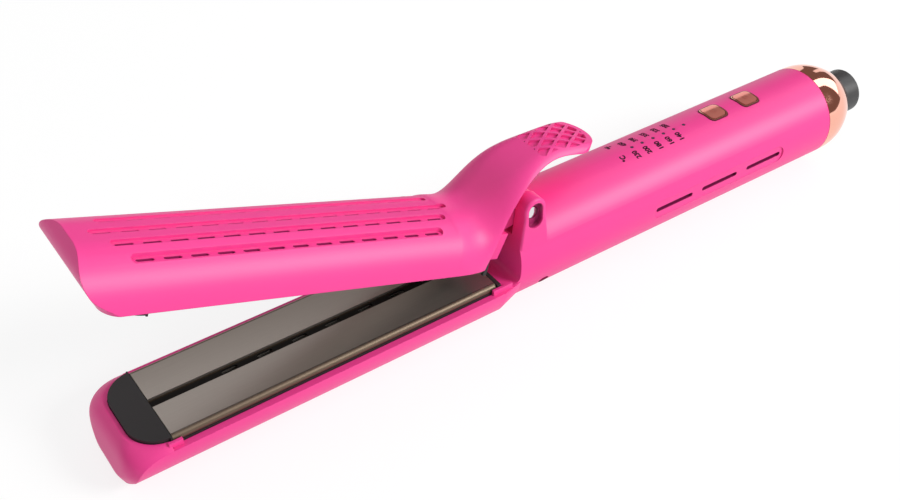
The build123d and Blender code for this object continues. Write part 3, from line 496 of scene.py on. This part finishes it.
SLOT_FINISHES = {
    "pink_shell": ("satin pink moulding", satin_shell()),
    "rose_gold": ("polished copper plating", polished_copper),
    "plate_coating": ("ceramic plate coat", coated_plate),
    "carrier_plastic": ("heat-proof charcoal", plain((0.026, 0.024, 0.025), 0.55, shine=0.35)),
    "grey_plastic": ("grey collar moulding", plain((0.034, 0.034, 0.036), 0.42)),
    "black_plastic": ("black moulding", plain((0.015, 0.015, 0.015), 0.5)),
    "steel": ("bright steel", plain((0.62, 0.62, 0.64), 0.22, metallic=1.0)),
    "circuit_board": ("green board", plain((0.02, 0.12, 0.04), 0.4)),
    "light_guide": ("smoked light guide", plain((0.060, 0.045, 0.090), 0.25)),
    "capacitor_sleeve": ("blue sleeve", plain((0.02, 0.03, 0.12), 0.3)),
    "heatsink": ("raw aluminium", plain((0.5, 0.5, 0.52), 0.4, metallic=1.0)),
    "filter_mesh": ("black woven filter", plain((0.02, 0.02, 0.02), 0.7)),
    "ceramic": ("white ceramic", plain((0.7, 0.68, 0.64), 0.5)),
    "mica": ("mica sheet", plain((0.5, 0.44, 0.34), 0.35)),
}

BUTTON_FINISH = ("satin copper key", plain((0.98, 0.33, 0.27), 0.10, metallic=0.65))
NODE_FINISHES = {
    "main_housing": ("satin pink housing", satin_shell(handle_slot_shade)),
    "upper_shell": ("satin pink arm", satin_shell(arm_slot_shade)),
    "power_button": BUTTON_FINISH,
    "temperature_button": BUTTON_FINISH,
    "hinge_pin": ("chromed pin", plain((0.80, 0.80, 0.82), 0.07, grain=0.02, metallic=1.0)),
    "lower_air_strip": ("brown-edged air strip", air_strip),
    "upper_air_strip": ("brown-edged air strip", air_strip),
    "power_bezel": ("power button rim", bezel_trim(BUTTON_X["power"])),
    "temperature_bezel": ("temperature button rim", bezel_trim(BUTTON_X["temperature"])),
}


def finish(obj, name, build):
    """Gives a piece one finish."""
    obj.data.materials.clear()
    obj.data.materials.append(material(name, build))


def new_piece(name, points, faces, body, slot, look):
    """Makes a piece from a point array and its faces, finishes it and sets it on a body."""
    mesh = bpy.data.meshes.new(name)
    mesh.from_pydata(points.tolist(), [], faces)
    mesh.update()
    piece = bpy.data.objects.new(name, mesh)
    bpy.context.scene.collection.objects.link(piece)
    finish(piece, *look)
    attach(piece, body)
    return piece


def on_handle(flat, x, angle, radius):
    """Bends a flat drawing round the handle.

    A drawn point (u, v, w) goes to x - v along the handle, to angle + u / radius round it from the
    top, and to radius + w from its axis.
    """
    turn = angle + flat[:, 0] / radius
    reach = radius + flat[:, 2]
    return np.stack([x - flat[:, 1], reach * np.sin(turn), AXIS_Z + reach * np.cos(turn)], 1)


def drawn_words(words, width, height, thickness):
    """Flat closed letters in a box of width by height, middle at (0, 0), thickness either way."""
    curve = bpy.data.curves.new("words", "FONT")
    curve.body = words
    curve.resolution_u = 4
    curve.offset = LETTER_WEIGHT
    curve.extrude = 1.0
    holder = bpy.data.objects.new("words", curve)
    bpy.context.scene.collection.objects.link(holder)
    seen = holder.evaluated_get(bpy.context.evaluated_depsgraph_get())
    mesh = bpy.data.meshes.new_from_object(seen)
    points = np.empty(3 * len(mesh.vertices))
    mesh.vertices.foreach_get("co", points)
    points = points.reshape(-1, 3)
    low, high = points.min(0), points.max(0)
    points = (points - (low + high) / 2) / (high - low) * (width, height, 2 * thickness)
    faces = [tuple(face.vertices) for face in mesh.polygons]
    bpy.data.objects.remove(holder)
    bpy.data.curves.remove(curve)
    bpy.data.meshes.remove(mesh)
    return points, faces


def drawn_band(radius, width, start, end, thickness, count=48):
    """A closed flat band along an arc: a rectangle carried from the start angle to the end angle.

    Point j of section i is radius + side * width / 2 from the middle, at height +-thickness.
    A whole turn joins its last section to its first, and a shorter one gets two end faces.
    """
    whole = abs(end - start) > 2 * math.pi - 1e-6
    angles = np.linspace(start, end, count, endpoint=not whole)
    side = np.array([-1.0, 1.0, 1.0, -1.0])
    level = np.array([-1.0, -1.0, 1.0, 1.0])
    reach = radius + side[None, :] * width / 2
    points = np.stack(
        [
            reach * np.cos(angles)[:, None],
            reach * np.sin(angles)[:, None],
            np.broadcast_to(level * thickness, (count, 4)),
        ],
        2,
    ).reshape(-1, 3)
    first = np.arange(count if whole else count - 1)[:, None]
    corner = np.arange(4)[None, :]
    after = (first + 1) % count
    turned = (corner + 1) % 4
    faces = np.stack(
        [4 * first + corner, 4 * after + corner, 4 * after + turned, 4 * first + turned], 2
    ).reshape(-1, 4)
    faces = faces.tolist()
    if not whole:
        faces += [[0, 1, 2, 3], [4 * count - 1, 4 * count - 2, 4 * count - 3, 4 * count - 4]]
    return points, faces


def drawn_bar(width, height, middle_v, thickness):
    """A closed flat bar across u = 0, with its middle at v = middle_v."""
    side = np.array([-1.0, 1.0, 1.0, -1.0])
    level = np.array([-1.0, -1.0, 1.0, 1.0])
    points = np.concatenate(
        [
            np.stack([side * width / 2, middle_v + level * height / 2, np.full(4, depth)], 1)
            for depth in (-thickness, thickness)
        ]
    )
    faces = [[3, 2, 1, 0], [4, 5, 6, 7], [0, 1, 5, 4], [1, 2, 6, 5], [2, 3, 7, 6], [3, 0, 4, 7]]
    return points, faces


def drawn_oval(length, width, thickness, taper=0.86, crown=1.15, count=40):
    """A closed oval cushion: a wide lower ring, a slightly smaller upper ring and a middle to each.

    Ring points are (length / 2 * cos t, width / 2 * sin t) at height -thickness, then taper times
    that at height thickness. The middles are at heights -thickness and crown * thickness.
    """
    angles = np.linspace(0.0, 2.0 * math.pi, count, endpoint=False)
    ring = np.stack([length / 2 * np.cos(angles), width / 2 * np.sin(angles)], 1)
    points = np.concatenate(
        [
            np.column_stack([ring, np.full(count, -thickness)]),
            np.column_stack([taper * ring, np.full(count, thickness)]),
            [[0.0, 0.0, -thickness], [0.0, 0.0, crown * thickness]],
        ]
    )
    first = np.arange(count)
    after = (first + 1) % count
    walls = np.stack([first, after, count + after, count + first], 1).tolist()
    below = np.stack([after, first, np.full(count, 2 * count)], 1).tolist()
    above = np.stack([count + first, count + after, np.full(count, 2 * count + 1)], 1).tolist()
    return points, walls + below + above


def joined(drawings):
    """Puts several point arrays and face lists in one."""
    points = np.concatenate([each[0] for each in drawings])
    starts = np.cumsum([0] + [len(each[0]) for each in drawings[:-1]]).tolist()
    faces = [
        [start + corner for corner in face]
        for start, each in zip(starts, drawings)
        for face in each[1]
    ]
    return points, faces


class FinishSettings(bpy.types.PropertyGroup):
    shell_colour: bpy.props.FloatVectorProperty(
        name="Shell colour",
        description="Colour of the moulded shells",
        subtype="COLOR",
        default=(0.93, 0.052, 0.305),
        min=0.0,
        max=1.0,
    )
    # The colour that the painted shade in slots, recesses and tight corners turns the shell to.
    slot_shade_colour: bpy.props.FloatVectorProperty(
        name="Slot colour",
        description="Deep tone of the shells inside their slots and recesses",
        subtype="COLOR",
        default=(0.15, 0.006, 0.055),
        min=0.0,
        max=1.0,
    )
    trim_colour: bpy.props.FloatVectorProperty(
        name="Trim colour",
        description="Colour of the polished tail cap and buttons",
        subtype="COLOR",
        default=(0.93, 0.465, 0.36),
        min=0.0,
        max=1.0,
    )
    outline_colour: bpy.props.FloatVectorProperty(
        name="Outline colour",
        description="Colour of the line round each button",
        subtype="COLOR",
        default=(0.11, 0.012, 0.012),
        min=0.0,
        max=1.0,
    )
    plate_colour: bpy.props.FloatVectorProperty(
        name="Plate colour",
        description="Colour of the plates' ceramic coat",
        subtype="COLOR",
        default=(0.36, 0.325, 0.295),
        min=0.0,
        max=1.0,
    )
    plate_edge_colour: bpy.props.FloatVectorProperty(
        name="Plate edge colour",
        description="Colour of the plates' rounded long edges",
        subtype="COLOR",
        default=(0.165, 0.125, 0.090),
        min=0.0,
        max=1.0,
    )
    edge_softness: bpy.props.FloatProperty(
        name="Edge softness",
        description="Radius of the mouldings' small edges",
        subtype="DISTANCE",
        unit="LENGTH",
        default=0.0003,
        min=0.0,
        max=0.001,
    )


class PrintSettings(bpy.types.PropertyGroup):
    print_colour: bpy.props.FloatVectorProperty(
        name="Print colour",
        description="Colour of the temperature scale",
        subtype="COLOR",
        default=(0.012, 0.002, 0.009),
        min=0.0,
        max=1.0,
    )
    digit_height: bpy.props.FloatProperty(
        name="Digit height",
        description="Height of the scale's numbers",
        subtype="DISTANCE",
        unit="LENGTH",
        default=0.0022,
        min=0.001,
        max=0.004,
    )
    number_width: bpy.props.FloatProperty(
        name="Number width",
        description="Width of a three-digit number of the scale",
        subtype="DISTANCE",
        unit="LENGTH",
        default=0.0039,
        min=0.001,
        max=0.005,
    )
    film: bpy.props.FloatProperty(
        name="Film thickness",
        description="How far the print stands over the shell",
        subtype="DISTANCE",
        unit="LENGTH",
        default=0.00003,
        min=0.00001,
        max=0.0002,
    )


class StageSettings(bpy.types.PropertyGroup):
    floor_colour: bpy.props.FloatVectorProperty(
        name="Floor colour",
        description="Colour of the studio floor",
        subtype="COLOR",
        default=(0.93, 0.93, 0.93),
        min=0.0,
        max=1.0,
    )
    key_power: bpy.props.FloatProperty(
        name="Key light",
        description="Power of the large soft light at the front right",
        subtype="POWER",
        default=49.0,
        min=0.0,
    )
    room_light: bpy.props.FloatProperty(
        name="Room light",
        description="Strength of the even light from all sides",
        default=0.51,
        min=0.0,
        max=2.0,
    )
    card_colour: bpy.props.FloatVectorProperty(
        name="Dark card colour",
        description="Brightness of the dark cards that the polished trim reflects",
        subtype="COLOR",
        default=(0.19, 0.135, 0.115),
        min=0.0,
        max=1.0,
    )


class STRAIGHTENER_OT_finishes(bpy.types.Operator):
    """Gives every node of the frame its finish and smooth shading"""

    bl_idname = "straightener.finishes"
    bl_label = "Finish the frame"

    def execute(self, context):
        slots = {row["node"]: row["material_slot"] for row in frame["record"]["subparts"]}
        for name, obj in frame["nodes"].items():
            finish(obj, *NODE_FINISHES.get(name, SLOT_FINISHES[slots[name]]))
            obj.data.polygons.foreach_set("use_smooth", [True] * len(obj.data.polygons))
            weld = obj.modifiers.new("join facets", "WELD")
            weld.merge_threshold = WELD_REACH
            split = obj.modifiers.new("keep edges", "EDGE_SPLIT")
            split.split_angle = SHARP_ANGLE
        return {"FINISHED"}


class STRAIGHTENER_OT_scale(bpy.types.Operator):
    """Prints the two temperature scales beside the row of lights"""

    bl_idname = "straightener.scale"
    bl_label = "Print the scale"

    def execute(self, context):
        settings = context.scene.straightener_print
        number = (settings.number_width, settings.digit_height)
        prints = []
        for x, inner, outer in zip(LAMP_X, CELSIUS, FAHRENHEIT):
            prints.append((inner, x - NUMBER_LEAD, CELSIUS_Y, number))
            prints.append((outer, x - NUMBER_LEAD, FAHRENHEIT_Y, number))
        prints += [(words, x, y, (UNIT_WIDTH, UNIT_HEIGHT)) for words, x, y in UNITS]
        drawings = []
        for words, x, y, size in prints:
            flat, faces = drawn_words(words, *size, settings.film)
            drawings.append((on_handle(flat, x, y / HANDLE_RADIUS, HANDLE_RADIUS), faces))
        ink = plain(tuple(settings.print_colour), 0.7, shine=0.15)
        look = ("scale print", ink)
        new_piece("printed_scale", *joined(drawings), "base", "black_plastic", look)
        return {"FINISHED"}


class STRAIGHTENER_OT_icons(bpy.types.Operator):
    """Marks the power button with a ring and bar, and the temperature button with a ring and dot"""

    bl_idname = "straightener.icons"
    bl_label = "Mark the buttons"

    def execute(self, context):
        film = context.scene.straightener_print.film
        look = ("button mark", plain(MARK_COLOUR, 0.4))
        start, end = math.pi / 2 + MARK_GAP, 2.5 * math.pi - MARK_GAP
        power = joined(
            [
                drawn_band(MARK_RADIUS, POWER_LINE, start, end, film),
                drawn_bar(POWER_LINE, *POWER_BAR, film),
            ]
        )
        dial = joined(
            [
                drawn_band(radius, DIAL_LINE, 0.0, 2 * math.pi, film)
                for radius in (MARK_RADIUS, DOT_RADIUS)
            ]
        )
        for name, (flat, faces) in (("power", power), ("temperature", dial)):
            low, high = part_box(f"{name}_button")
            middle = (low[0] + high[0]) / 2
            points = on_handle(flat, middle, 0.0, BUTTON_TOP)
            new_piece(f"{name}_mark", points, faces, f"{name}_button", "black_plastic", look)
        return {"FINISHED"}


class STRAIGHTENER_OT_plugs(bpy.types.Operator):
    """Sets the two dark oval plugs low on the handle's neck"""

    bl_idname = "straightener.plugs"
    bl_label = "Set the neck plugs"

    def execute(self, context):
        look = ("dark plug", plain(PLUG_COLOUR, 0.8, shine=0.1))
        flat, faces = drawn_oval(*PLUG_SIZE, PLUG_RISE)
        for name, side in (("near", -1.0), ("far", 1.0)):
            points = on_handle(flat, PLUG_X, side * PLUG_ANGLE, HANDLE_RADIUS)
            new_piece(f"neck_plug_{name}", points, faces, "base", "black_plastic", look)
        return {"FINISHED"}


class STRAIGHTENER_OT_stage(bpy.types.Operator):
    """Sets up the pale floor, the room, the cards, the key light and the camera"""

    bl_idname = "straightener.stage"
    bl_label = "Set the stage"

    def execute(self, context):
        settings = context.scene.straightener_stage
        self.floor(tuple(settings.floor_colour))
        self.room(settings.room_light)
        dark = tuple(settings.card_colour)
        for name, (turns, heights) in DARK_CARDS.items():
            self.card(f"dark_card_{name}", turns, heights, dark, 1.0)
        self.card("bright_card", *BRIGHT_CARD, WHITE, BRIGHT_CARD_STRENGTH)
        self.key_light(settings.key_power)
        self.camera()
        context.scene.view_settings.view_transform = "Standard"
        return {"FINISHED"}

    def floor(self, colour):
        """A round pale floor, which looks white from afar and keeps the part's shadow."""
        angles = np.linspace(0.0, 2.0 * math.pi, FLOOR_CORNERS, endpoint=False)
        rim = FLOOR_RADIUS * np.stack([np.cos(angles), np.sin(angles), np.zeros_like(angles)], 1)
        mesh = bpy.data.meshes.new("floor")
        mesh.from_pydata(rim.tolist(), [], [list(range(len(rim)))])
        floor = bpy.data.objects.new("floor", mesh)
        bpy.context.scene.collection.objects.link(floor)
        floor.location.z = -FLOOR_DROP

        def floor_finish(shader):
            seen = shader.seen_ray()
            shown = shader.mix(seen, scaled(colour, FLOOR_LIT), scaled(colour, FLOOR_SEEN))
            diffuse = shader.node("ShaderNodeBsdfDiffuse", None, {"Color": shown})
            glow = {"Color": WHITE, "Strength": seen * FLOOR_GLOW}
            both = {0: diffuse, 1: shader.node("ShaderNodeEmission", None, glow)}
            sum_of_both = shader.node("ShaderNodeAddShader", None, both)
            shader.node("ShaderNodeOutputMaterial", None, {"Surface": sum_of_both})

        floor.data.materials.append(material("pale floor", floor_finish))

    def room(self, level):
        """Even white light from all sides, at full strength for what looks at the room itself."""
        world = bpy.data.worlds.new("studio room")
        world.use_nodes = True
        shader = Shader(world.node_tree)
        strength = level + shader.seen_ray() * (1.0 - level)
        inputs = {"Color": WHITE, "Strength": strength}
        light = shader.node("ShaderNodeBackground", None, inputs)
        shader.node("ShaderNodeOutputWorld", None, {"Surface": light})
        bpy.context.scene.world = world

    def key_light(self, power):
        """The large soft light at the front right."""
        towards = Vector(KEY_DIRECTION).normalized()
        lamp = bpy.data.lights.new("key", "AREA")
        lamp.shape = "SQUARE"
        lamp.size = KEY_SIZE
        lamp.energy = power
        key = bpy.data.objects.new("key", lamp)
        key.location = Vector(KEY_TARGET) + towards * KEY_DISTANCE
        key.rotation_euler = towards.to_track_quat("Z", "Y").to_euler()
        bpy.context.scene.collection.objects.link(key)

    def camera(self):
        """The camera at the photograph's place, turned by its fitted right and up directions."""
        camera = bpy.data.objects.new("camera", bpy.data.cameras.new("camera"))
        camera.data.sensor_fit = "HORIZONTAL"
        camera.data.sensor_width = SENSOR_WIDTH
        camera.data.lens = SENSOR_WIDTH * FOCAL_PIXELS / PHOTO_WIDTH
        camera.data.clip_start, camera.data.clip_end = CAMERA_CLIP
        right, up = Vector(CAMERA_RIGHT), Vector(CAMERA_UP)
        turn = Matrix((right, up, right.cross(up))).transposed().to_4x4()
        camera.matrix_world = Matrix.Translation(CAMERA_PLACE) @ turn
        bpy.context.scene.collection.objects.link(camera)
        bpy.context.scene.camera = camera

    def card(self, name, turns, heights, colour, strength):
        """A curved card of the studio, which only reflections see.

        Its points stand at the card distance from the middle, at azimuths a from -Y towards +X and
        at heights h, both in degrees: (sin a cos h, -cos a cos h, sin h).
        """
        wide, tall = CARD_GRID
        round_, up = np.meshgrid(
            np.radians(np.linspace(*turns, wide)),
            np.radians(np.linspace(*heights, tall)),
            indexing="ij",
        )
        points = CARD_DISTANCE * np.stack(
            [np.sin(round_) * np.cos(up), -np.cos(round_) * np.cos(up), np.sin(up)], 2
        )
        rows = np.arange(wide - 1)[:, None] * tall + np.arange(tall - 1)[None, :]
        faces = np.stack([rows, rows + 1, rows + tall + 1, rows + tall], 2).reshape(-1, 4)
        mesh = bpy.data.meshes.new(name)
        mesh.from_pydata(points.reshape(-1, 3).tolist(), [], faces.tolist())
        card = bpy.data.objects.new(name, mesh)
        bpy.context.scene.collection.objects.link(card)
        card.visible_camera = False
        card.visible_diffuse = False
        card.visible_transmission = False
        card.visible_volume_scatter = False
        card.visible_shadow = False

        def card_finish(shader):
            glow = shader.node("ShaderNodeEmission", None, {"Color": colour, "Strength": strength})
            shader.node("ShaderNodeOutputMaterial", None, {"Surface": glow})

        card.data.materials.append(material(name, card_finish))


class STRAIGHTENER_PT_panel(bpy.types.Panel):
    """Lists the steps that dress the frame"""

    bl_idname = "STRAIGHTENER_PT_panel"
    bl_label = "Straightener"
    bl_space_type = "VIEW_3D"
    bl_region_type = "UI"
    bl_category = "Straightener"

    def draw(self, context):
        column = self.layout.column()
        for step in STEPS:
            column.operator(step.bl_idname)


STEPS = (
    STRAIGHTENER_OT_finishes,
    STRAIGHTENER_OT_scale,
    STRAIGHTENER_OT_icons,
    STRAIGHTENER_OT_plugs,
    STRAIGHTENER_OT_stage,
)
GROUPS = {
    "straightener_finish": FinishSettings,
    "straightener_print": PrintSettings,
    "straightener_stage": StageSettings,
}


def register():
    for group in GROUPS.values():
        bpy.utils.register_class(group)
    for step in STEPS:
        bpy.utils.register_class(step)
    bpy.utils.register_class(STRAIGHTENER_PT_panel)
    for name, group in GROUPS.items():
        setattr(bpy.types.Scene, name, bpy.props.PointerProperty(type=group))


def unregister():
    for name in GROUPS:
        delattr(bpy.types.Scene, name)
    bpy.utils.unregister_class(STRAIGHTENER_PT_panel)
    for step in reversed(STEPS):
        bpy.utils.unregister_class(step)
    for group in reversed(list(GROUPS.values())):
        bpy.utils.unregister_class(group)


def main():
    """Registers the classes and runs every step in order."""
    register()
    for step in STEPS:
        module, name = step.bl_idname.split(".")
        getattr(getattr(bpy.ops, module), name)()


if __name__ == "__main__":
    main()
